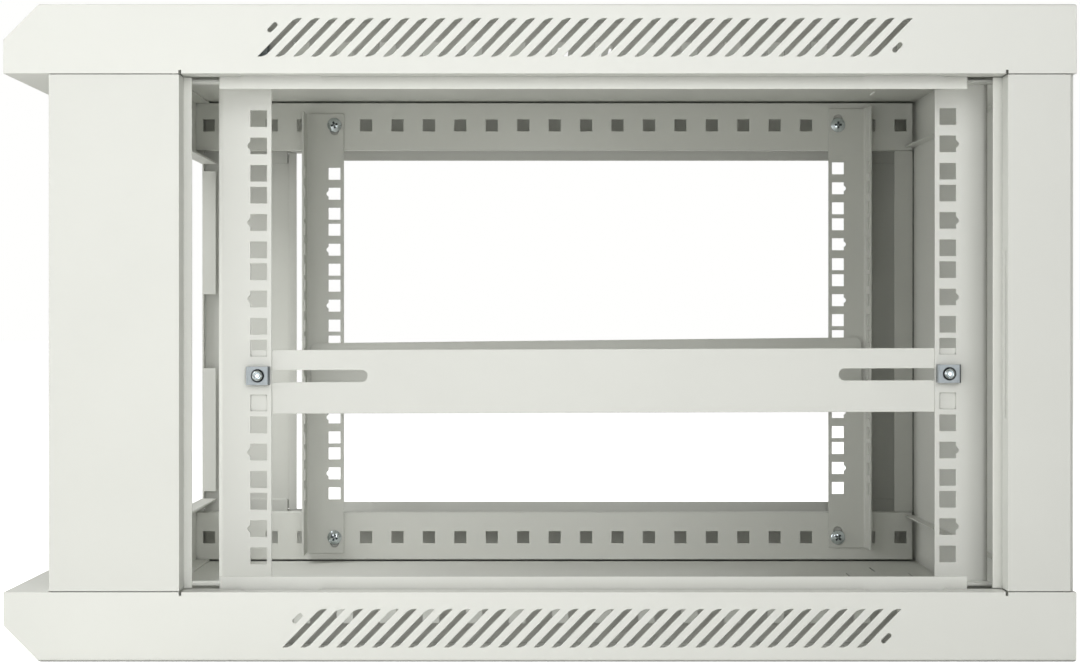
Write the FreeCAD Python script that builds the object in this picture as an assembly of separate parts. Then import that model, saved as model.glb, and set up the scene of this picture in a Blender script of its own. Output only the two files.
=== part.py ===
import FreeCAD, Part
import math
import os

# Wall cabinet frame for 19-inch equipment, six rack units high, without door and side panels.
# X runs across the width (right is positive), Y from the front (negative) to the wall, Z upwards.
# Shapes are drawn about the middle height and lifted onto the floor when they are saved.
# All lengths are in millimetres.

# Overall size: the width follows from the opening between the rack rails
rack_opening = 450.0
rack_face_width = 25.0           # rack face beside the opening
side_room = 50.0                 # from the rack rail to the cabinet's outer face
width = rack_opening + 2 * (rack_face_width + side_room)
depth = 600.0
height = 368.0
half_w = width / 2
half_d = depth / 2
half_h = height / 2

# Sheet thickness and inside bend radius; the other folds are sharp
sheet = 1.2                      # covers, posts and back panel
cover_bend = 0.4
plate = 1.5                      # cross rails, depth bars, rack rails and braces
rail_bend = 2.0

# Covers: skirts, bevelled brow, side-panel seat
skirt_height = 39.0
brow_bevel = 20.0
brow_return = 24.8               # flange turned in under the brow
seam = 0.5                       # gap between a skirt and the posts
seat_depth = 16.0                # seat of the side panel, from the outer face inwards
seat_lip = 7.0                   # lip that stands into the side opening
lip_gap_front = 20.4             # lip's end, from the front post
lip_gap_rear = 19.9              # lip's end, from the rear post
hook_slot_length = 45.0
hook_slot_width = 5.0
hook_from_front_post = 55.4      # centre of the hook slot, from the post
hook_from_rear_post = 55.7
relief_width = 1.4
relief_height = 2.0

# Vents in the side skirts: slots that lean by 45 degrees
vent_pitch = 10.04
vent_width = 4.0                 # along the skirt
vent_height = 21.4
vent_lean = 20.8                 # top end against bottom end
vent_centre = 18.8               # below the cover's top face
vent_blunt = 1.6                 # cut off each blunt corner
roof_vents = (43.9, 77.0)        # first slot from the front post, last one from the rear post
floor_vents = (57.8, 82.0)
stub_length = 6.8
stub_width = 2.7
stub_blunt = 0.8                 # cut off each of a short slot's corners
stub_offset = 4.0                # short slot's centre, outwards from the end slot's centre
stub_shift = 5.6                 # and up or down from it

# Openings in the covers' flat faces
cable_half_width = 160.0         # knock-out plate for cables
cable_depth = 48.0
cable_margin = 21.0              # from the rear face
cable_slit = 1.0
cable_tab = 6.0                  # bridge that holds the plate until it is broken out
tie_slit_gap = 11.0              # from the knock-out plate
tie_slit_length = 30.0
tie_slit_width = 1.6
fan_x = 66.0                     # centres of the roof's two round fan grilles
fan_y = 26.0
fan_radius = 40.0
fan_slot_pitch = 11.0
fan_slot_width = 7.0
fan_slots_each_side = 3

# Posts
front_post_setback = 25.4        # cover's front face to the post's front face
front_post_width = 72.8
front_return = 8.0               # turned in along the post's front edge
front_lip = 11.0
lock_cutout_half = 30.0          # lip cut away about the middle
front_lip_gap = 14.8             # lip's end, from the cover's skirt
front_post_lip = 4.8             # lip towards the side opening
rear_post_setback = 3.2
rear_post_width = 35.1
rear_post_lip = 5.4
rear_flange = 47.0
rear_flange_lip = 14.5
rear_flange_gap = 0.3            # between the rear flange's end and the bar
post_slit_inset = 6.8            # from the outer face
post_slit_width = 2.4
post_slit_low = -48.0
post_slit_high = 46.0
strap_inset = 4.0                # strap's edge, from the post's edge
strap_grip = 8.0                 # strap's reach behind the post, below the cover's skirt

# Back panel and its wall-fixing holes
panel_seam = 0.1                 # between the panel and the rear skirts
panel_overlap = 2.3              # reach behind the covers' rear skirts
panel_side_gap = 3.0
panel_hem = 7.0
wall_hole_drop = 74.0            # from the top
wall_hole = 10.0

# Cross rails behind the brow
cross_setback = 25.0             # cover's front face to the web's front face
cross_drop = 9.0                 # below the brow's underside
cross_flange = 12.0

# Depth bars, whose upper edges lie under the cross rail's flange
bar_height = 37.2
bar_flange = 12.0
bar_hole_drop = 17.5             # hole line below the bar's upper edge
bar_hole_pitch = 25.0
bar_hole_count = 23
bar_first_hole = 10.2            # from the bar's front end
bar_rear_gap = 4.0               # from the covers' rear face
square_hole = 9.5

# Rack rails
rack_unit = 44.45
rack_units = 6
unit_steps = (0.0, 15.875, 31.75)
rack_column = 7.55               # hole column of the rack face, from the opening
rail_side = 31.0
rail_side_edge = 7.5             # hole column to the free edge of the side flange
rail_end = 47.5                  # beyond the first and last hole
rail_slot_width = 7.0
rail_slot_length = 12.0
notch_width = 4.8                # at the hole's edge
notch_tip = 1.6
notch_depth = 1.6
front_bar_hole = 4               # bar hole that carries the front rail
rear_bar_hole = 20
rail_lift = {(1, -1): -2.7, (1, 1): -1.5, (-1, -1): -1.8, (-1, 1): 2.5}

# Support braces
brace_hole = 10                  # rack hole that carries the brace, counted from the top
brace_height = 37.0
brace_shelf = 20.0
brace_slot_drop = 15.2           # slot line below the upper edge
brace_sag = 0.4                  # slot line below the screw
brace_slot_width = 7.0
brace_slot_outer = 12.0          # slot's end beyond the screw
brace_slot_inner = 63.0
brace_end_gap = 5.0              # from the rack face's outer side
brace_corner = 5.0

# Screws and caged nuts, metric six
fastener_sides = 12              # they repeat, so their round faces are few-sided
screw_length = 12.0
screw_radius = 3.0
head_radius = 5.6
head_height = 3.0
nut_half = 5.3
nut_thickness = 4.8
nut_clearance = 0.1
cage_sheet = 0.6
cage_half = 6.85
cage_reach = 6.2
cage_leg = 1.3
cage_leg_gap = 0.1
cage_window = 7.4

# Positions that follow from the sizes above
skirt_edge = half_h - skirt_height
bar_inner = rack_opening / 2 + rack_face_width
front_post_y = -half_d + front_post_setback
front_post_end = front_post_y + front_post_width
rear_post_end = half_d - rear_post_setback
rear_post_y = rear_post_end - rear_post_width
cross_y = -half_d + cross_setback
bar_front = cross_y + plate
bar_top = half_h - sheet - plate
bar_hole_z = bar_top - bar_hole_drop
rear_flange_reach = bar_top - bar_height - rear_flange_gap
front_column = bar_front + bar_first_hole + front_bar_hole * bar_hole_pitch
rear_column = bar_front + bar_first_hole + rear_bar_hole * bar_hole_pitch
rail_inner = bar_inner - plate
rail_half = (rack_units * rack_unit - rack_unit + unit_steps[-1]) / 2 + rail_end
rack_face = front_column + rail_side_edge - rail_side
cut = 2.0                        # how far a cutting tool runs past the metal


def vec(x, y, z):
    return FreeCAD.Vector(x, y, z)


def box(x0, x1, y0, y1, z0, z1):
    return Part.makeBox(x1 - x0, y1 - y0, z1 - z0, vec(x0, y0, z0))


def rounded_outline(points, radii, place):
    """Closed face through the points, each corner rounded by its own radius."""
    ends = []
    for i, corner in enumerate(points):
        here = vec(corner[0], corner[1], 0)
        back = vec(*points[i - 1], 0) - here
        ahead = vec(*points[(i + 1) % len(points)], 0) - here
        back.normalize()
        ahead.normalize()
        half_angle = back.getAngle(ahead) / 2
        run = radii[i] / math.tan(half_angle)
        middle = back + ahead
        middle.normalize()
        dip = radii[i] / math.sin(half_angle) - radii[i]
        ends.append((here + back * run, here + middle * dip, here + ahead * run))
    edges = []
    for i, (start, middle, stop) in enumerate(ends):
        if radii[i]:
            arc = [place(p.x, p.y) for p in (start, middle, stop)]
            edges.append(Part.Arc(*arc).toShape())
        following = ends[(i + 1) % len(ends)][0]
        if (following - stop).Length > 1e-6:
            edges.append(Part.makeLine(place(stop.x, stop.y), place(following.x, following.y)))
    return Part.Face(Part.Wire(edges))


def prism(points, place, sweep):
    """Solid with a sharp-cornered polygon as its section."""
    return rounded_outline(points, [0] * len(points), place).extrude(sweep)


def bend_points(path, thickness, bend):
    """Corner arcs of a folded sheet: start, middle and end on the path and on its other face."""
    arcs = []
    for before, corner, after in zip(path, path[1:], path[2:]):
        here = vec(*corner, 0)
        incoming = here - vec(*before, 0)
        outgoing = vec(*after, 0) - here
        incoming.normalize()
        outgoing.normalize()
        normal_in = vec(-incoming.y, incoming.x, 0) * thickness
        normal_out = vec(-outgoing.y, outgoing.x, 0) * thickness
        if not bend:
            mitre = (normal_in + normal_out) * (1 / (1 + incoming.dot(outgoing)))
            arcs.append(((here,), (here + mitre,)))
            continue
        left_turn = incoming.cross(outgoing).z > 0
        path_radius = bend + thickness if left_turn else bend
        other_radius = bend if left_turn else bend + thickness
        run = path_radius * math.tan(incoming.getAngle(outgoing) / 2)
        start = here - incoming * run
        stop = here + outgoing * run
        inward = outgoing - incoming
        inward.normalize()
        centre = here + inward * math.hypot(run, path_radius)
        on_path = (start, centre - inward * path_radius, stop)
        on_other = (start + normal_in, centre - inward * other_radius, stop + normal_out)
        arcs.append((on_path, on_other))
    return arcs


def folded(path, thickness, bend, place, sweep):
    """Folded sheet. The path follows one face and the metal lies on its left."""
    arcs = bend_points(path, thickness, bend)
    first = vec(*path[0], 0)
    last = vec(*path[-1], 0)
    leading = vec(*path[1], 0) - first
    trailing = last - vec(*path[-2], 0)
    leading.normalize()
    trailing.normalize()
    first_other = first + vec(-leading.y, leading.x, 0) * thickness
    last_other = last + vec(-trailing.y, trailing.x, 0) * thickness
    near = [(first,)] + [on_path for on_path, on_other in arcs] + [(last,)]
    far = [(first_other,)] + [on_other for on_path, on_other in arcs] + [(last_other,)]
    loop = near + [group[::-1] for group in reversed(far)]
    edges = []
    for i, group in enumerate(loop):
        if len(group) == 3:
            edges.append(Part.Arc(*[place(p.x, p.y) for p in group]).toShape())
        stop = group[-1]
        following = loop[(i + 1) % len(loop)][0]
        edges.append(Part.makeLine(place(stop.x, stop.y), place(following.x, following.y)))
    return Part.Face(Part.Wire(edges)).extrude(sweep)


def obround(u0, v0, u1, v1, slot_width, place, sweep):
    """Slot tool with round ends about two centres."""
    along = vec(u1 - u0, v1 - v0, 0)
    along.normalize()
    half = slot_width / 2
    side = vec(-along.y, along.x, 0) * half
    tip = along * half
    start, stop = vec(u0, v0, 0), vec(u1, v1, 0)
    corners = [start - side, start - tip, start + side, stop + side, stop + tip, stop - side]
    a, b, c, d, e, f = [place(p.x, p.y) for p in corners]
    edges = [Part.Arc(a, b, c).toShape(), Part.makeLine(c, d)]
    edges += [Part.Arc(d, e, f).toShape(), Part.makeLine(f, a)]
    return Part.Face(Part.Wire(edges)).extrude(sweep)


def mirrored(shape, across_width=False, across_depth=None, across_height=False):
    """Copy mirrored about the middle planes, or about a plane at the given depth."""
    if across_width:
        shape = shape.mirror(vec(0, 0, 0), vec(1, 0, 0))
    if across_depth is not None:
        shape = shape.mirror(vec(0, across_depth, 0), vec(0, 1, 0))
    if across_height:
        shape = shape.mirror(vec(0, 0, 0), vec(0, 0, 1))
    return shape


def cover_block(inset):
    """Filled outline of the upper cover, inset from its outer faces. Its cross section and its side
    section meet in mitred corners, and the upper edges are bent round."""
    side = half_w - inset
    front = -half_d + inset
    rear = half_d - inset
    top = half_h - inset
    low = skirt_edge + inset
    bevel = brow_bevel - inset * (2 - math.sqrt(2))
    radius = sheet + cover_bend - inset
    across = [(-side, low), (side, low), (side, top), (-side, top)]
    along = [(front, low), (rear, low), (rear, top), (front + bevel, top), (front, top - bevel)]
    cross = rounded_outline(across, [0, 0, radius, radius], lambda u, v: vec(u, front, v))
    profile = rounded_outline(along, [0, 0, radius, radius, radius],
                              lambda u, v: vec(-side, u, v))
    block = cross.extrude(vec(0, rear - front, 0))
    return block.common(profile.extrude(vec(2 * side, 0, 0)))


def seat_side(side):
    """Lip of the side-panel seat, which stands into the side opening."""
    inner = half_w - seat_depth - sheet
    y0 = front_post_end + lip_gap_front
    y1 = rear_post_y - lip_gap_rear
    lip = box(inner, inner + sheet, y0, y1, skirt_edge - seat_lip, skirt_edge + sheet)
    return mirrored(lip, across_width=side < 0)


def cover_openings():
    """Tools that open the block's underside and leave the brow flange and the two seats."""
    low = skirt_edge - cut
    high = skirt_edge + sheet
    inner = half_w - seat_depth - sheet
    wall = half_w - sheet
    back = half_d - sheet
    brow = -half_d + brow_return
    tools = [box(-inner, inner, brow, back, low, high)]
    tools.append(box(-wall, wall, brow, front_post_end + seam, low, high))
    tools.append(box(-wall, wall, rear_post_y - seam, back, low, high))
    for y in (front_post_end + hook_from_front_post, rear_post_y - hook_from_rear_post):
        hook = box(inner + sheet, inner + sheet + hook_slot_width,
                   y - hook_slot_length / 2, y + hook_slot_length / 2, low, high + cut)
        tools += [hook, mirrored(hook, across_width=True)]
    for y in (front_post_end + seam, rear_post_y - seam):
        nick = box(wall - cut, half_w + cut, y - relief_width / 2, y + relief_width / 2,
                   low, skirt_edge + relief_height)
        tools += [nick, mirrored(nick, across_width=True)]
    return tools


def skirt_place(side):
    """Maps depth and height onto a cutting plane inside the chosen side skirt."""
    x = side * (half_w - sheet - cut)
    return lambda u, v: vec(x, u, v)


def vent(side, y):
    """One leaning slot with two sharp and two blunted corners, which starts at the given depth."""
    middle = half_h - vent_centre
    near_end = middle - side * vent_height / 2
    far_end = middle + side * vent_height / 2
    share = vent_blunt / math.hypot(vent_lean, vent_height)
    step_y = share * vent_lean
    step_z = share * (far_end - near_end)
    foot = y + vent_width
    head = y + vent_lean
    corners = [(y, near_end), (foot - vent_blunt, near_end), (foot + step_y, near_end + step_z),
               (head + vent_width, far_end), (head + vent_blunt, far_end),
               (head - step_y, far_end - step_z)]
    return prism(corners, skirt_place(side), vec(side * (sheet + 2 * cut), 0, 0))


def short_vent(side, y, z):
    """Short leaning slot about the given point."""
    half_length = stub_length / 2
    half_width = stub_width / 2
    corners = [(half_length, half_width - stub_blunt), (half_length - stub_blunt, half_width),
               (stub_blunt - half_length, half_width), (-half_length, half_width - stub_blunt)]
    corners += [(-u, -v) for u, v in corners]
    tool = prism(corners, skirt_place(side), vec(side * (sheet + 2 * cut), 0, 0))
    tool.rotate(vec(0, 0, 0), vec(1, 0, 0), 45 * side)
    tool.translate(vec(0, y, z))
    return tool


def vent_row(side, front_gap, rear_gap):
    """Row of vents in one side skirt: seen from outside, each rises to the right. A short one
    stands beside each end."""
    first = front_post_end + front_gap
    count = int((rear_post_y - rear_gap - first) / vent_pitch) + 1
    starts = [first + i * vent_pitch for i in range(count)]
    tools = [vent(side, y) for y in starts]
    for start, outwards in ((starts[0], -1), (starts[-1], 1)):
        centre = start + (vent_width + vent_lean) / 2
        tools.append(short_vent(side, centre + outwards * stub_offset,
                                half_h - vent_centre - outwards * side * stub_shift))
    return tools


def cable_knockout():
    """Slits round the cable plate, interrupted by tabs, and the tie slits beside it."""
    low = half_h - sheet - cut
    high = half_h + cut
    half_tab = cable_tab / 2
    rear = half_d - cable_margin
    front = rear - cable_depth
    middle = (front + rear) / 2
    tools = []
    for y in (front, rear - cable_slit):
        tools.append(box(half_tab, cable_half_width, y, y + cable_slit, low, high))
    side = cable_half_width - cable_slit
    tools.append(box(side, cable_half_width, front, middle - half_tab, low, high))
    tools.append(box(side, cable_half_width, middle + half_tab, rear, low, high))
    half_slit = tie_slit_width / 2
    tie = cable_half_width + tie_slit_gap
    tools.append(box(tie, tie + tie_slit_length, middle - half_slit, middle + half_slit, low, high))
    return tools + [mirrored(tool, across_width=True) for tool in tools]


def fan_grilles():
    """Two round grilles side by side in the roof, each of straight slots across the width."""
    tools = []
    half = fan_slot_width / 2
    for i in range(-fan_slots_each_side, fan_slots_each_side + 1):
        offset = i * fan_slot_pitch
        y = fan_y + offset
        reach = math.sqrt(fan_radius ** 2 - offset ** 2)
        slot = box(fan_x - reach, fan_x + reach, y - half, y + half,
                   half_h - sheet - cut, half_h + cut)
        tools += [slot, mirrored(slot, across_width=True)]
    return tools


def cover(vented_side, front_gap, rear_gap):
    """Upper cover: roof, skirts, brow and seats in one folded sheet, vented in one side skirt."""
    shell = cover_block(0).cut(cover_block(sheet))
    shell = shell.fuse([seat_side(1), seat_side(-1)])
    tools = cover_openings() + cable_knockout() + vent_row(vented_side, front_gap, rear_gap)
    return shell.cut(tools).removeSplitter()


def turned_over(shape):
    """A cover turned over about the depth axis, for the floor: its left side comes to the right."""
    copy = shape.copy()
    copy.rotate(vec(0, 0, 0), vec(0, 1, 0), 180)
    return copy


def strap(y0, y1):
    """Pair of strips inside a right post that reach behind the skirts of both covers."""
    outer = half_w - sheet
    root = skirt_edge - strap_grip
    tip = half_h - sheet - seam
    upper = box(outer - sheet, outer, y0, y1, root, tip)
    return [upper, mirrored(upper, across_height=True)]


def front_post():
    """Right front post: flush side face, seat towards the opening, interrupted front lip."""
    reach = skirt_edge - seam
    lip_x = half_w - front_return
    seat_x = half_w - seat_depth
    path = [(lip_x, front_post_y + front_lip), (lip_x, front_post_y), (half_w, front_post_y),
            (half_w, front_post_end), (seat_x, front_post_end),
            (seat_x, front_post_end + front_post_lip)]
    body = folded(path, sheet, 0, lambda u, v: vec(u, v, -reach), vec(0, 0, 2 * reach))
    lip_root = front_post_y + sheet
    lip_tip = front_post_y + front_lip
    x0, x1 = lip_x - cut, lip_x + sheet
    middle = box(x0, x1, lip_root, lip_tip + cut, -lock_cutout_half, lock_cutout_half)
    end = box(x0, x1, lip_root, lip_tip + cut, skirt_edge - front_lip_gap, half_h)
    body = body.cut([middle, end, mirrored(end, across_height=True)])
    straps = strap(front_post_y + sheet, front_post_end - strap_inset)
    return body.fuse(straps).removeSplitter()


def rear_post():
    """Right rear post: narrow side face, seat, and a flange behind with a lip turned forward."""
    reach = skirt_edge - seam
    seat_x = half_w - seat_depth
    flange_x = half_w - rear_flange
    path = [(seat_x, rear_post_y - rear_post_lip), (seat_x, rear_post_y), (half_w, rear_post_y),
            (half_w, rear_post_end), (flange_x, rear_post_end),
            (flange_x, rear_post_end - rear_flange_lip)]
    body = folded(path, sheet, 0, lambda u, v: vec(u, v, -reach), vec(0, 0, 2 * reach))
    inside = half_w - sheet
    lip_tip = rear_post_end - rear_flange_lip
    end = box(flange_x - cut, inside, lip_tip - cut, rear_post_end + cut,
              rear_flange_reach, half_h)
    half_slit = post_slit_width / 2
    slit_x = half_w - post_slit_inset
    slit = box(slit_x - half_slit, slit_x + half_slit, rear_post_y - cut,
               rear_post_y + sheet + cut, post_slit_low, post_slit_high)
    body = body.cut([end, mirrored(end, across_height=True), slit])
    straps = strap(rear_post_y + strap_inset, rear_post_end - strap_inset)
    return body.fuse(straps).removeSplitter()


def back_panel():
    """Closed plate behind the rear posts, tucked behind the rear skirts, hemmed between the bars."""
    outer = half_d - sheet - panel_seam
    reach = skirt_edge + panel_overlap
    half_hem = bar_inner - plate
    side = half_w - panel_side_gap
    path = [(outer - panel_hem - sheet, -reach), (outer, -reach), (outer, reach),
            (outer - panel_hem - sheet, reach)]
    tray = folded(path, sheet, 0, lambda u, v: vec(-half_hem, u, v), vec(2 * half_hem, 0, 0))
    wing = box(half_hem, side, outer - sheet, outer, -reach, reach)
    panel = tray.fuse([wing, mirrored(wing, across_width=True)])
    holes = []
    hole_x = half_w / 2
    hole_z = half_h - wall_hole_drop
    for x in (-hole_x, hole_x):
        for z in (-hole_z, hole_z):
            start = vec(x, outer - sheet - cut, z)
            holes.append(Part.makeCylinder(wall_hole / 2, sheet + 2 * cut, start, vec(0, 1, 0)))
    return panel.cut(holes).removeSplitter()


def cross_rail():
    """Channel behind the upper brow: its web frames the door opening and takes the bars' ends."""
    top = half_h - sheet
    low = skirt_edge - cross_drop
    half = half_w - front_return - seam
    path = [(cross_y + cross_flange, top), (cross_y, top), (cross_y, low),
            (cross_y + cross_flange, low)]
    return folded(path, plate, 0, lambda u, v: vec(-half, u, v), vec(2 * half, 0, 0))


def depth_bar():
    """Upper right depth bar: channel open to the outside, with a row of square holes."""
    low = bar_top - bar_height
    outer = bar_inner + bar_flange
    path = [(outer, bar_top), (bar_inner, bar_top), (bar_inner, low), (outer, low)]
    length = half_d - bar_rear_gap - bar_front
    bar = folded(path, plate, 0, lambda u, v: vec(u, bar_front, v), vec(0, length, 0))
    half = square_hole / 2
    holes = []
    for i in range(bar_hole_count):
        y = bar_front + bar_first_hole + i * bar_hole_pitch
        holes.append(box(bar_inner - cut, bar_inner + plate + cut, y - half, y + half,
                         bar_hole_z - half, bar_hole_z + half))
    return bar.cut(holes)


def rack_hole_heights():
    """Heights of the rack holes from the top downwards, about the rail's middle."""
    top = rail_half - rail_end
    return [top - unit * rack_unit - step for unit in range(rack_units) for step in unit_steps]


def notch(edge, z):
    """Blunt notch in a hole's front edge, at the hole's middle height."""
    tip = edge - notch_depth
    corners = [(edge, notch_width / 2), (tip, notch_tip / 2), (tip, -notch_tip / 2),
               (edge, -notch_width / 2), (front_column, -notch_width / 2),
               (front_column, notch_width / 2)]
    return prism(corners, lambda u, v: vec(rail_inner - cut, u, z + v), vec(plate + 2 * cut, 0, 0))


def rail_holes():
    """Square holes of both flanges. In the side flange the middle hole of each unit has a notch."""
    half = square_hole / 2
    face_x = rack_opening / 2 + rack_column
    tools = []
    for i, z in enumerate(rack_hole_heights()):
        side_span = (rail_inner - cut, bar_inner + cut)
        face_span = (rack_face - cut, rack_face + plate + cut)
        tools.append(box(*side_span, front_column - half, front_column + half, z - half, z + half))
        tools.append(box(face_x - half, face_x + half, *face_span, z - half, z + half))
        if i % len(unit_steps) == 1:
            tools.append(notch(front_column - half, z))
    return tools


def rail_slots():
    """Upright slots with round ends that let the rail be set on the bars."""
    reach = (rail_slot_length - rail_slot_width) / 2
    return [obround(front_column, z - reach, front_column, z + reach, rail_slot_width,
                    lambda u, v: vec(rail_inner - cut, u, v), vec(plate + 2 * cut, 0, 0))
            for z in (bar_hole_z, -bar_hole_z)]


def rack_rail(side, end):
    """Rack rail: right or left side, front or rear end, at the height it was set to."""
    path = [(rack_opening / 2, rack_face), (bar_inner, rack_face),
            (bar_inner, rack_face + rail_side)]
    rail = folded(path, plate, rail_bend, lambda u, v: vec(u, v, -rail_half),
                  vec(0, 0, 2 * rail_half))
    rail = rail.cut(rail_holes() + rail_slots())
    middle = (front_column + rear_column) / 2 if end > 0 else None
    rail = mirrored(rail, across_width=side < 0, across_depth=middle)
    rail.translate(vec(0, 0, rail_lift[side, end]))
    return rail


def brace_screw_heights(side):
    """Heights of a brace's front and rear screws."""
    level = rack_hole_heights()[brace_hole]
    return level + rail_lift[side, -1], level + rail_lift[side, 1]


def brace_slot(column, inward, z):
    """Long slot from just outside the screw to well inside the brace."""
    half = brace_slot_width / 2
    ends = sorted((column - inward * (brace_slot_outer - half),
                   column + inward * (brace_slot_inner - half)))
    return obround(ends[0], z, ends[1], z, brace_slot_width,
                   lambda u, v: vec(rail_inner - plate - cut, u, v), vec(plate + 2 * cut, 0, 0))


def brace(side):
    """Support brace: angle with a shelf turned inwards, hung from the front and rear rails."""
    front_z, rear_z = brace_screw_heights(side)
    slot_z = (front_z + rear_z) / 2 - brace_sag
    top = slot_z + brace_slot_drop
    low = top - brace_height
    y0 = rack_face + brace_end_gap
    y1 = front_column + rear_column - y0
    path = [(rail_inner - brace_shelf, low), (rail_inner, low), (rail_inner, top)]
    body = folded(path, plate, 0, lambda u, v: vec(u, y0, v), vec(0, y1 - y0, 0))
    corners = [(y0, low - cut), (y1, low - cut), (y1, top), (y0, top)]
    face = rounded_outline(corners, [0, 0, brace_corner, brace_corner],
                           lambda u, v: vec(rail_inner - brace_shelf, u, v))
    body = body.common(face.extrude(vec(brace_shelf, 0, 0)))
    body = body.cut([brace_slot(front_column, 1, slot_z), brace_slot(rear_column, -1, slot_z)])
    tilt = math.degrees(math.atan2(rear_z - front_z, rear_column - front_column))
    pivot = vec(0, (front_column + rear_column) / 2, slot_z)
    body.rotate(pivot, vec(1, 0, 0), tilt)
    return mirrored(body, across_width=side < 0)


def turned(radius, start, stop):
    """Small round bar or bore tool along X, with few sides."""
    turns = [2 * math.pi * i / fastener_sides for i in range(fastener_sides)]
    corners = [(radius * math.cos(turn), radius * math.sin(turn)) for turn in turns]
    return prism(corners, lambda u, v: vec(start, u, v), vec(stop - start, 0, 0))


def screw(seat_x):
    """Screw along X with its head inwards of the seat."""
    head = turned(head_radius, seat_x - head_height, seat_x)
    return head.fuse(turned(screw_radius, seat_x, seat_x + screw_length))


def caged_nut(face_x):
    """Square nut in its spring cage, on the outer side of a square hole. The cage's strap runs over
    the nut and has a window for the screw's end; its legs grip the edges of the hole."""
    leg = square_hole / 2 - cage_leg_gap
    outer = face_x + cage_reach
    path = [(face_x - cage_leg, leg), (face_x, leg), (face_x, cage_half), (outer, cage_half),
            (outer, -cage_half), (face_x, -cage_half), (face_x, -leg), (face_x - cage_leg, -leg)]
    half = square_hole / 2 - cage_leg_gap
    cage = folded(path[::-1], cage_sheet, 0, lambda u, v: vec(u, v, -half), vec(0, 0, 2 * half))
    pane = cage_window / 2
    window = box(outer - cut, outer + cut, -pane, pane, -pane, pane)
    start = face_x + cage_sheet
    nut = box(start, start + nut_thickness, -nut_half, nut_half, -nut_half, nut_half)
    bore = turned(screw_radius + nut_clearance, start - cut, start + nut_thickness + cut)
    return cage.cut(window).fuse(nut.cut(bore)).removeSplitter()


def placed(piece, spots):
    """Copies of a right-hand piece, one solid for each spot given as side, depth and height."""
    copies = []
    for side, y, z in spots:
        copy = mirrored(piece.copy(), across_width=side < 0)
        copy.translate(vec(0, y, z))
        copies.append(copy)
    return Part.makeCompound(copies)


def rail_spots():
    return [(side, y, z) for side in (1, -1) for y in (front_column, rear_column)
            for z in (bar_hole_z, -bar_hole_z)]


def brace_spots():
    spots = []
    for side in (1, -1):
        front_z, rear_z = brace_screw_heights(side)
        spots += [(side, front_column, front_z), (side, rear_column, rear_z)]
    return spots


def save(node, shape):
    shape = shape.copy()
    shape.translate(vec(0, 0, half_h))
    shape.exportStep("parts/" + node + ".step")


def build():
    os.makedirs("parts", exist_ok=True)
    save("top_cover", cover(1, *roof_vents).cut(fan_grilles()))
    save("bottom_cover", turned_over(cover(-1, *floor_vents)))
    front, rear = front_post(), rear_post()
    bar = depth_bar()
    for side, name in ((1, "right"), (-1, "left")):
        left = side < 0
        save("front_post_" + name, mirrored(front, across_width=left))
        save("rear_post_" + name, mirrored(rear, across_width=left))
        save("upper_depth_bar_" + name, mirrored(bar, across_width=left))
        save("lower_depth_bar_" + name, mirrored(bar, across_width=left, across_height=True))
        save("front_rack_rail_" + name, rack_rail(side, -1))
        save("rear_rack_rail_" + name, rack_rail(side, 1))
        save("support_brace_" + name, brace(side))
    save("back_panel", back_panel())
    rail = cross_rail()
    save("upper_cross_rail", rail)
    save("lower_cross_rail", mirrored(rail, across_height=True))
    save("rail_screws", placed(screw(rail_inner), rail_spots()))
    save("rail_cage_nuts", placed(caged_nut(bar_inner + plate), rail_spots()))
    save("brace_screws", placed(screw(rail_inner - plate), brace_spots()))
    save("brace_cage_nuts", placed(caged_nut(bar_inner), brace_spots()))


build()
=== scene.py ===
import math

import bmesh
import bpy
from mathutils import Matrix, Vector


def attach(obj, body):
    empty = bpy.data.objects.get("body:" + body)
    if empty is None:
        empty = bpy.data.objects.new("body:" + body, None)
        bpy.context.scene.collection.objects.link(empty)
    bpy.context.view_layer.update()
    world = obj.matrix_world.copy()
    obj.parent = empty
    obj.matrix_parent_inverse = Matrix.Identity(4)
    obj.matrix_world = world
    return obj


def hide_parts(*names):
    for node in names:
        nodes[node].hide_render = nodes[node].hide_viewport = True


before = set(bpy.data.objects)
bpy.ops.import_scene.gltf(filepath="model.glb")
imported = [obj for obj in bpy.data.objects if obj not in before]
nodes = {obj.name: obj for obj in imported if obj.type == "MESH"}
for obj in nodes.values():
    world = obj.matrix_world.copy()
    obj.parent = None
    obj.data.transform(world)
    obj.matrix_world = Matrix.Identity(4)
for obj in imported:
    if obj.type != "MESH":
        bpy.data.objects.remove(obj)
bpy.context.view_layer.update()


# Top and bottom cover
# Each is one sheet of 1.2 mm steel, punched, folded and powder coated light grey. The coat melts in
# the oven, so it lies over every edge in a small round and sets with a faint orange peel.


def add_node(tree, kind, inputs=(), **settings):
    """Adds a node, sets its own settings, and gives each named input a value or a link."""
    node = tree.nodes.new(kind)
    for name, value in settings.items():
        setattr(node, name, value)
    for name, value in dict(inputs).items():
        if isinstance(value, bpy.types.NodeSocket):
            tree.links.new(value, node.inputs[name])
        else:
            node.inputs[name].default_value = value
    return node


def linear(code):
    """sRGB hex colour as linear RGBA."""
    parts = [int(code[i:i + 2], 16) / 255 for i in (1, 3, 5)]
    return [c / 12.92 if c <= 0.04045 else ((c + 0.055) / 1.055) ** 2.4 for c in parts] + [1.0]


def bare_tree(owner):
    """The emptied node tree of a material or of the world."""
    owner.use_nodes = True
    owner.node_tree.nodes.clear()
    return owner.node_tree


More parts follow.
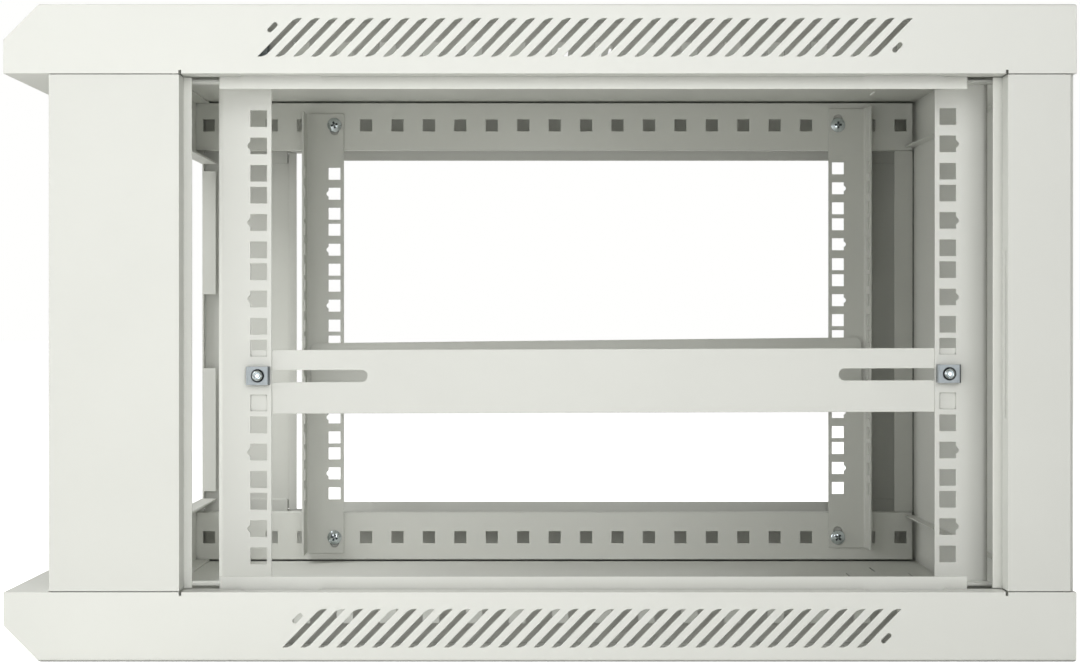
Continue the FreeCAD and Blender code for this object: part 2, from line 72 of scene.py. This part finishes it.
def painted_closed_in_shade(tree, tone, dark, reach_mm, full, none, own=False):
    """The tone with painted shade, turning to the dark colour where surfaces close in.

    It is all dark at the open share full, and not dark at the open share none. With own, only
    the piece's own surfaces count.
    """
    around = add_node(tree, "ShaderNodeAmbientOcclusion", {"Distance": reach_mm / 1000},
                      samples=6, only_local=own)
    open_share = add_node(tree, "ShaderNodeMapRange",
                          {"Value": around.outputs["AO"], "From Min": full, "From Max": none})
    return add_node(tree, "ShaderNodeMix",
                    {"Factor": open_share.outputs["Result"], "A": linear(dark), "B": tone},
                    data_type="RGBA").outputs["Result"]


def powder_coat(name, light, dark, edge_mm=0.55, corner_shade=None):
    """Baked polyester powder coat: satin, softly rounded at the edges, with a fine peel.

    Narrow gaps and seams get painted shade: a near-black colour where other surfaces close in.
    Its own inside corners get painted shade in the corner shade colour when there is one.
    """
    peel_mm, peel_depth_mm = 2.2, 0.03
    grain_mm, grain_depth_mm = 0.7, 0.02  # the real grain of 0.1 mm is too fine to show
    cloud_mm = 70.0
    smoothest, roughest = 0.37, 0.49
    material = bpy.data.materials.new(name)
    tree = bare_tree(material)
    place = add_node(tree, "ShaderNodeTexCoord").outputs["Object"]
    cloud = add_node(tree, "ShaderNodeTexNoise",
                     {"Vector": place, "Scale": 1000 / cloud_mm, "Detail": 3.0})
    peel = add_node(tree, "ShaderNodeTexNoise",
                    {"Vector": place, "Scale": 1000 / peel_mm, "Detail": 1.0})
    grain = add_node(tree, "ShaderNodeTexNoise",
                     {"Vector": place, "Scale": 1000 / grain_mm, "Detail": 2.0})
    tone = add_node(tree, "ShaderNodeMix",
                    {"Factor": cloud.outputs["Fac"], "A": linear(dark), "B": linear(light)},
                    data_type="RGBA").outputs["Result"]
    # Painted shade: the piece's own inside corners darken towards the corner shade colour.
    if corner_shade:
        tone = painted_closed_in_shade(tree, tone, corner_shade, reach_mm=9.0, full=0.4, none=1.0, own=True)
    # Painted shade: near-black wherever other surfaces close in within 6 mm, in gaps and seams.
    coat_with_painted_shade = painted_closed_in_shade(tree, tone, "#2C2D2B", reach_mm=6.0, full=0.12, none=0.42)
    gloss = add_node(tree, "ShaderNodeMapRange",
                     {"Value": grain.outputs["Fac"], "From Min": 0.3, "From Max": 0.7,
                      "To Min": smoothest, "To Max": roughest})
    edge = add_node(tree, "ShaderNodeBevel", {"Radius": edge_mm / 1000}, samples=6)
    coarse = add_node(tree, "ShaderNodeBump",
                      {"Height": peel.outputs["Fac"], "Strength": 0.25,
                       "Distance": peel_depth_mm / 1000, "Normal": edge.outputs["Normal"]})
    fine = add_node(tree, "ShaderNodeBump",
                    {"Height": grain.outputs["Fac"], "Strength": 0.3,
                     "Distance": grain_depth_mm / 1000, "Normal": coarse.outputs["Normal"]})
    coat = add_node(tree, "ShaderNodeBsdfPrincipled",
                    {"Base Color": coat_with_painted_shade, "Roughness": gloss.outputs["Result"],
                     "IOR": 1.5, "Normal": fine.outputs["Normal"]})
    add_node(tree, "ShaderNodeOutputMaterial", {"Surface": coat.outputs["BSDF"]})
    return material


def coat_nodes(material, *names):
    """Gives CAD nodes a material, in the slots that they have."""
    for name in names:
        for place in nodes[name].material_slots:
            place.material = material


# The covers' corner shade colour #B6B7B1 is painted shade for their inside corners.
coat_nodes(powder_coat("powder_coat_cover", "#D6D7D1", "#D2D3CD", corner_shade="#B6B7B1"),
           "top_cover", "bottom_cover")

# Posts and back panel
# Folded from the same sheet and spot welded between the covers before painting, so they carry the
# same coat. Its tone is set a shade darker here as painted shade, matched to how dark they look.

coat_nodes(powder_coat("powder_coat_post", "#D0D1CB", "#CBCCC6"),
           "front_post_right", "front_post_left", "rear_post_right", "rear_post_left")
# Painted shade: the panel's tone is set a shade darker than the covers', the coat being the same.
coat_nodes(powder_coat("powder_coat_panel", "#D2D3CD", "#CECFC9"), "back_panel")

# Cross rails and depth bars
# Channels of 1.5 mm steel, folded and welded in to carry the rack rails.

# Painted light: the bars' tone is set a shade lighter than the covers', the coat being the same.
coat_nodes(powder_coat("powder_coat_bar", "#DADBD5", "#D6D7D1", edge_mm=0.9),
           "upper_cross_rail", "lower_cross_rail", "upper_depth_bar_right",
           "upper_depth_bar_left", "lower_depth_bar_right", "lower_depth_bar_left")

# Rack rails and support braces
# Punched angles of 1.5 mm steel, coated one by one on hooks and then screwed in, so they can be
# set nearer or farther.

# Painted shade: the rails' tone is set a shade darker than the covers', the coat being the same.
coat_nodes(powder_coat("powder_coat_rail", "#D3D4CE", "#CFD0CA", edge_mm=0.7),
           "front_rack_rail_right", "front_rack_rail_left", "rear_rack_rail_right",
           "rear_rack_rail_left")
# Painted shade: the braces' tone is set a shade darker than the covers', the coat being the same.
coat_nodes(powder_coat("powder_coat_brace", "#D3D4CE", "#CECFC9"),
           "support_brace_right", "support_brace_left")

# Screws
# M6 pan head screws of steel, cold headed, thread rolled, zinc plated and passivated bluish. The
# head's cross recess is pressed in, and each was driven home at its own angle.

head_height = 0.0030
round_steps = 40


def solid_boxes(name):
    """Lowest and highest corner of each separate solid of a CAD node."""
    mesh = bmesh.new()
    mesh.from_mesh(nodes[name].data)
    bmesh.ops.remove_doubles(mesh, verts=mesh.verts, dist=1e-6)
    unseen = set(mesh.verts)
    boxes = []
    while unseen:
        front = [unseen.pop()]
        corners = []
        while front:
            vertex = front.pop()
            corners.append(vertex.co.copy())
            linked = [e.other_vert(vertex) for e in vertex.link_edges]
            front += [v for v in linked if v in unseen]
            unseen.difference_update(linked)
        boxes.append((Vector(map(min, *corners)), Vector(map(max, *corners))))
    mesh.free()
    return sorted(boxes, key=lambda box: tuple(round(c, 4) for c in box[0]))


def seats(node, depth):
    """Seat of each of a node's solids, and the turn about Z that points the piece outwards.

    The seat lies depth inside the end that looks to the middle of the cabinet.
    """
    found = []
    for low, high in solid_boxes(node):
        left = low.x < 0
        middle = (low + high) / 2
        seat = high.x - depth if left else low.x + depth
        found.append(((seat, middle.y, middle.z), math.pi if left else 0))
    return found


def mesh_object(name, mesh):
    """Links a bmesh as an object at the origin."""
    data = bpy.data.meshes.new(name)
    mesh.to_mesh(data)
    mesh.free()
    made = bpy.data.objects.new(name, data)
    bpy.context.scene.collection.objects.link(made)
    return made


def turned(name, profile):
    """Closed round piece about X from (x, radius) points in metres, ends on the axis."""
    mesh = bmesh.new()
    angles = [math.tau * i / round_steps for i in range(round_steps)]
    rings = []
    for x, radius in profile:
        if radius == 0:
            rings.append([mesh.verts.new((x, 0, 0))])
        else:
            rings.append([mesh.verts.new((x, radius * math.cos(a), radius * math.sin(a)))
                          for a in angles])
    for a, b in zip(rings, rings[1:]):
        for i in range(round_steps):
            corners = [a[i % len(a)], a[(i + 1) % len(a)], b[(i + 1) % len(b)], b[i % len(b)]]
            mesh.faces.new(list(dict.fromkeys(corners)))
    bmesh.ops.recalc_face_normals(mesh, faces=mesh.faces)
    return mesh_object(name, mesh)


def plain_copy(made, name):
    """The object with its modifiers made real, as a new mesh object; the old one goes."""
    graph = bpy.context.evaluated_depsgraph_get()
    data = bpy.data.meshes.new_from_object(made.evaluated_get(graph))
    data.name = name
    copy = bpy.data.objects.new(name, data)
    bpy.context.scene.collection.objects.link(copy)
    bpy.data.objects.remove(made)
    return copy


def cut_out(name, piece, cutter, crossing=False):
    """The piece without the cutter's space; crossing says that the cutter crosses itself."""
    cut = piece.modifiers.new("cut", "BOOLEAN")
    cut.object = cutter
    cut.solver = "EXACT"
    cut.use_self = crossing
    made = plain_copy(piece, name)
    bpy.data.objects.remove(cutter)
    return made


def zinc_plate(name, colour, tint, roughness):
    """Bright zinc plate, faintly blue passivated, uneven in patches, with painted shade in hollows.
    """
    patch_mm = 4.0
    grain_mm, grain_depth_mm = 0.5, 0.02
    edge_mm = 0.15
    material = bpy.data.materials.new(name)
    tree = bare_tree(material)
    place = add_node(tree, "ShaderNodeTexCoord").outputs["Object"]
    patch = add_node(tree, "ShaderNodeTexNoise",
                     {"Vector": place, "Scale": 1000 / patch_mm, "Detail": 3.0})
    grain = add_node(tree, "ShaderNodeTexNoise",
                     {"Vector": place, "Scale": 1000 / grain_mm, "Detail": 3.0})
    tone = add_node(tree, "ShaderNodeMix",
                    {"Factor": patch.outputs["Fac"], "A": linear(tint), "B": linear(colour)},
                    data_type="RGBA").outputs["Result"]
    # Painted shade: dark in the cross recess, under the head and wherever surfaces close in.
    plate_with_painted_shade = painted_closed_in_shade(tree, tone, "#33373A", reach_mm=3.0, full=0.2, none=0.75)
    gloss = add_node(tree, "ShaderNodeMapRange",
                     {"Value": grain.outputs["Fac"], "From Min": 0.3, "From Max": 0.7,
                      "To Min": roughness - 0.08, "To Max": roughness + 0.12})
    edge = add_node(tree, "ShaderNodeBevel", {"Radius": edge_mm / 1000}, samples=4)
    bump = add_node(tree, "ShaderNodeBump",
                    {"Height": grain.outputs["Fac"], "Strength": 0.3,
                     "Distance": grain_depth_mm / 1000, "Normal": edge.outputs["Normal"]})
    plate = add_node(tree, "ShaderNodeBsdfPrincipled",
                     {"Base Color": plate_with_painted_shade, "Roughness": gloss.outputs["Result"],
                      "Metallic": 1.0, "Normal": bump.outputs["Normal"]})
    add_node(tree, "ShaderNodeOutputMaterial", {"Surface": plate.outputs["BSDF"]})
    return material


def repeat_tree(name):
    """Geometry Nodes tree: one copy of a piece at each point, turned as the point says."""
    tree = bpy.data.node_groups.new(name, "GeometryNodeTree")
    face = tree.interface
    face.new_socket("Geometry", in_out="INPUT", socket_type="NodeSocketGeometry")
    face.new_socket("Piece", in_out="INPUT", socket_type="NodeSocketObject")
    face.new_socket("Size", in_out="INPUT", socket_type="NodeSocketFloat")
    face.new_socket("Finish", in_out="INPUT", socket_type="NodeSocketMaterial")
    face.new_socket("Geometry", in_out="OUTPUT", socket_type="NodeSocketGeometry")
    start = add_node(tree, "NodeGroupInput")
    piece = add_node(tree, "GeometryNodeObjectInfo", {"Object": start.outputs["Piece"]})
    turning = add_node(tree, "GeometryNodeInputNamedAttribute", {"Name": "turning"},
                       data_type="FLOAT_VECTOR")
    copies = add_node(tree, "GeometryNodeInstanceOnPoints",
                      {"Points": start.outputs["Geometry"], "Instance": piece.outputs["Geometry"],
                       "Rotation": turning.outputs["Attribute"], "Scale": start.outputs["Size"]})
    real = add_node(tree, "GeometryNodeRealizeInstances", {"Geometry": copies.outputs["Instances"]})
    finish = add_node(tree, "GeometryNodeSetMaterial",
                      {"Geometry": real.outputs["Geometry"], "Material": start.outputs["Finish"]})
    add_node(tree, "NodeGroupOutput", {"Geometry": finish.outputs["Geometry"]})
    return tree


def repeated(name, piece, spots, material):
    """Copies of a piece at (place, turning) spots, made one plain mesh."""
    sharp_deg = 35
    mesh = bmesh.new()
    for place, turning in spots:
        mesh.verts.new(place)
    points = mesh_object(name + "_points", mesh)
    layer = points.data.attributes.new("turning", "FLOAT_VECTOR", "POINT")
    layer.data.foreach_set("vector", [c for place, turning in spots for c in turning])
    tree = repeat_tree(name + "_tree")
    modifier = points.modifiers.new("repeat", "NODES")
    modifier.node_group = tree
    values = {"Piece": piece, "Size": 1.0, "Finish": material}
    for item in tree.interface.items_tree:
        if item.in_out == "INPUT" and item.name in values:
            modifier[item.identifier] = values[item.name]
    made = plain_copy(points, name)
    for face in made.data.polygons:
        face.use_smooth = True
    made.data.set_sharp_from_angle(angle=math.radians(sharp_deg))
    return made


def screw_piece():
    """One screw along X, its seat at the origin and its head towards -X."""
    head_radius, side, rounding = 0.0056, 0.0011, 0.0002
    dome, dome_edge, dome_steps = 0.0088, 0.0050, 10
    shank, neck, tip, point = 0.0030, 0.0015, 0.0120, 0.0010
    pitch, crest, thread_depth = 0.0010, 0.0001, 0.00055
    recess_depth, over = 0.0024, 0.0010
    arm_at_top, arm_at_floor = (0.0078, 0.0020), (0.0028, 0.0010)

    profile = [(-head_height, 0)]
    for i in range(1, dome_steps + 1):
        radius = dome_edge * i / dome_steps
        profile.append((-head_height + dome - math.sqrt(dome ** 2 - radius ** 2), radius))
    profile += [(-side, head_radius - rounding / 2), (rounding - side, head_radius),
                (-rounding, head_radius), (0.0, head_radius - rounding), (0.0, shank),
                (neck, shank)]
    x = neck
    while x < tip - 1.6 * pitch:
        profile += [(x + 0.1 * pitch, shank - crest), (x + 0.5 * pitch, shank - thread_depth),
                    (x + 0.9 * pitch, shank - crest)]
        x += pitch
    profile += [(x + 0.2 * pitch, shank), (tip, shank - point),
                (tip - 0.3 * point, shank - 1.4 * point), (tip - point, shank - 1.8 * point),
                (tip - point, 0)]

    recess = bmesh.new()
    for turn in (0, math.pi / 2):
        arm = bmesh.ops.create_cube(recess, size=1.0)["verts"]
        for v in arm:
            deep = v.co.x > 0
            length, width = arm_at_floor if deep else arm_at_top
            v.co.x = -head_height + (recess_depth if deep else -over)
            v.co.y *= length
            v.co.z *= width
        bmesh.ops.rotate(recess, verts=arm, cent=(0, 0, 0), matrix=Matrix.Rotation(turn, 3, "X"))
    return cut_out("screw", turned("screw_body", profile), mesh_object("recess", recess),
                   crossing=True)


screw = screw_piece()
screw_zinc = zinc_plate("blue_passivated_zinc", "#DFE6EA", "#C6CFD2", roughness=0.2)
step_deg = 53
for node, first_deg in (("rail_screws", 111), ("brace_screws", 296)):
    spots = [(place, (math.radians(first_deg + i * step_deg), 0, outwards))
             for i, (place, outwards) in enumerate(seats(node, head_height))]
    screws = repeated(node + "_detailed", screw, spots, screw_zinc)
    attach(screws, "root")
    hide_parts(node)
bpy.data.objects.remove(screw)

# Cage nuts
# A square M6 nut held in a cage of bent spring steel, both zinc plated. The cage's two legs are
# snapped through a square hole and pull it against the sheet, and its strap has a round window.

grip = 0.0013


def strap_outline(points, thickness):
    """Both edges of a folded strip that follows the points, the second one inwards."""
    other = []
    for i, here in enumerate(points):
        here = Vector(here)
        arriving = (here - Vector(points[i - 1])).normalized() if i else None
        leaving = (Vector(points[i + 1]) - here).normalized() if i < len(points) - 1 else None
        if arriving is None:
            arriving = leaving
        if leaving is None:
            leaving = arriving
        normal = Vector((-arriving.y, arriving.x)) + Vector((-leaving.y, leaving.x))
        normal.normalize()
        share = normal.dot(Vector((-arriving.y, arriving.x)))
        other.append(tuple(here + normal * thickness / share))
    return list(points), other


def cage_piece():
    """Spring cage on the +X side of a sheet whose face is at the origin."""
    half, reach, corner, sheet = 0.00675, 0.0061, 0.0009, 0.0005
    leg, hook, lift, foot = 0.0046, 0.0005, 0.0003, 0.0004
    strap_half_width, leg_half_width = 0.0053, 0.0044
    window_radius, window_from, window_to = 0.0039, 0.0040, 0.0080

    path = [(-grip, leg - hook), (-grip * 0.4, leg), (0.0, leg), (lift, leg + foot),
            (lift, half - corner), (corner, half), (reach - corner, half), (reach, half - corner)]
    path += [(x, -y) for x, y in reversed(path)]
    near, far = strap_outline(path, -sheet)
    mesh = bmesh.new()
    columns = []
    for (x0, y0), (x1, y1) in zip(near, far):
        width = strap_half_width if x0 > 0 else leg_half_width
        columns.append([mesh.verts.new(p) for p in
                        ((x0, y0, -width), (x0, y0, width), (x1, y1, width), (x1, y1, -width))])
    for a, b in zip(columns, columns[1:]):
        for i in range(4):
            mesh.faces.new((a[i], a[(i + 1) % 4], b[(i + 1) % 4], b[i]))
    mesh.faces.new(columns[0])
    mesh.faces.new(columns[-1])
    bmesh.ops.recalc_face_normals(mesh, faces=mesh.faces)
    window = turned("window", [(window_from, 0), (window_from, window_radius),
                               (window_to, window_radius), (window_to, 0)])
    return cut_out("cage", mesh_object("cage_strip", mesh), window)


def nut_piece():
    """Square nut with a bore that is chamfered at both ends."""
    back, front, half = 0.0006, 0.0052, 0.0052
    bore_radius, chamfer, over = 0.00308, 0.0006, 0.0010
    back_mouth, front_mouth = 0.0042, 0.0044

    mesh = bmesh.new()
    bmesh.ops.create_cube(mesh, size=1.0)
    for v in mesh.verts:
        v.co = Vector((back if v.co.x < 0 else front, v.co.y * 2 * half, v.co.z * 2 * half))
    bore = turned("bore", [(back - over, 0), (back - over, back_mouth),
                           (back + chamfer, bore_radius), (front - chamfer, bore_radius),
                           (front + over, front_mouth), (front + over, 0)])
    return cut_out("nut", mesh_object("nut_block", mesh), bore)


def joined(name, parts):
    """Several objects' meshes in one new object."""
    mesh = bmesh.new()
    for part in parts:
        mesh.from_mesh(part.data)
        bpy.data.objects.remove(part)
    return mesh_object(name, mesh)


cage_nut = joined("cage_nut", [cage_piece(), nut_piece()])
cage_zinc = zinc_plate("zinc_plated_spring_steel", "#9BA1A4", "#82888B", roughness=0.45)
for node in ("rail_cage_nuts", "brace_cage_nuts"):
    spots = [(place, (0, 0, outwards)) for place, outwards in seats(node, grip)]
    cages = repeated(node + "_detailed", cage_nut, spots, cage_zinc)
    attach(cages, "root")
    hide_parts(node)
bpy.data.objects.remove(cage_nut)

# Stage
# A pale floor that runs far out in an even white surround. Large soft boxes light the object from
# the front, the right and behind, and two small ones stand close to the open right side.

floor_reach = 30
floor_glow = 0.85
world_light = 0.2

floor_mesh = bmesh.new()
bmesh.ops.create_grid(floor_mesh, x_segments=1, y_segments=1, size=floor_reach)
floor = mesh_object("floor", floor_mesh)
floor_paint = bpy.data.materials.new("pale_floor")
floor_tree = bare_tree(floor_paint)
seen = add_node(floor_tree, "ShaderNodeLightPath").outputs["Is Camera Ray"]
shown = add_node(floor_tree, "ShaderNodeMath", {0: seen, 1: floor_glow}, operation="MULTIPLY")
floor_coat = add_node(floor_tree, "ShaderNodeBsdfPrincipled",
                      {"Base Color": linear("#EDEDEA"), "Roughness": 0.9,
                       "Emission Color": linear("#FFFFFF"), "Emission Strength": shown.outputs[0]})
add_node(floor_tree, "ShaderNodeOutputMaterial", {"Surface": floor_coat.outputs["BSDF"]})
floor.data.materials.append(floor_paint)

world = bpy.data.worlds.new("white_surround")
bpy.context.scene.world = world
sky_tree = bare_tree(world)
seen = add_node(sky_tree, "ShaderNodeLightPath").outputs["Is Camera Ray"]
glow = add_node(sky_tree, "ShaderNodeMapRange",
                {"Value": seen, "To Min": world_light, "To Max": 1.0})
sky = add_node(sky_tree, "ShaderNodeBackground",
               {"Color": linear("#FFFFFE"), "Strength": glow.outputs["Result"]})
add_node(sky_tree, "ShaderNodeOutputWorld", {"Surface": sky.outputs["Background"]})


def soft_box(name, size, watts, place, target):
    """Square soft box that the camera doesn't see."""
    lamp = bpy.data.lights.new(name, "AREA")
    lamp.size = size
    lamp.energy = watts
    made = bpy.data.objects.new(name, lamp)
    made.location = place
    made.rotation_euler = (Vector(target) - Vector(place)).to_track_quat("-Z", "Y").to_euler()
    made.visible_camera = False
    bpy.context.scene.collection.objects.link(made)


heart = (0.1, 0.0, 0.184)
soft_box("front_box", 1.4, 18.5, (0.4, -2.3, 0.5), heart)
soft_box("front_top_box", 0.9, 20.5, (0.3, -1.3, 1.4), (0.1, -0.2, 0.1))
soft_box("right_top_box", 0.7, 6.5, (1.9, 0.35, 0.9), heart)
soft_box("right_box", 1.0, 8.3, (2.4, 0.5, 0.5), heart)
soft_box("near_box", 0.4, 0.9, (0.85, -0.45, 0.4), (0.2, -0.1, 0.184))
soft_box("low_box", 0.4, 1.1, (1.0, -0.1, 0.2), (0.28, 0.0, 0.33))
soft_box("rear_box", 1.4, 30.0, (-2.2, 1.6, 1.1), heart)

# Camera
# Almost square on to the right side, a touch above mid height and tipped down a little.

focal_px, frame_px = 2329.0, 1080.0
sensor_mm = 36.0
tip_down_deg = 0.11

camera_data = bpy.data.cameras.new("camera")
camera_data.sensor_width = sensor_mm
camera_data.lens = focal_px / frame_px * sensor_mm
camera = bpy.data.objects.new("camera", camera_data)
camera.location = (1.602, 0.0, 0.187)
camera.rotation_euler = (math.radians(90 - tip_down_deg), 0.0, math.radians(90))
bpy.context.scene.collection.objects.link(camera)
bpy.context.scene.camera = camera
bpy.context.scene.view_settings.view_transform = "Standard"
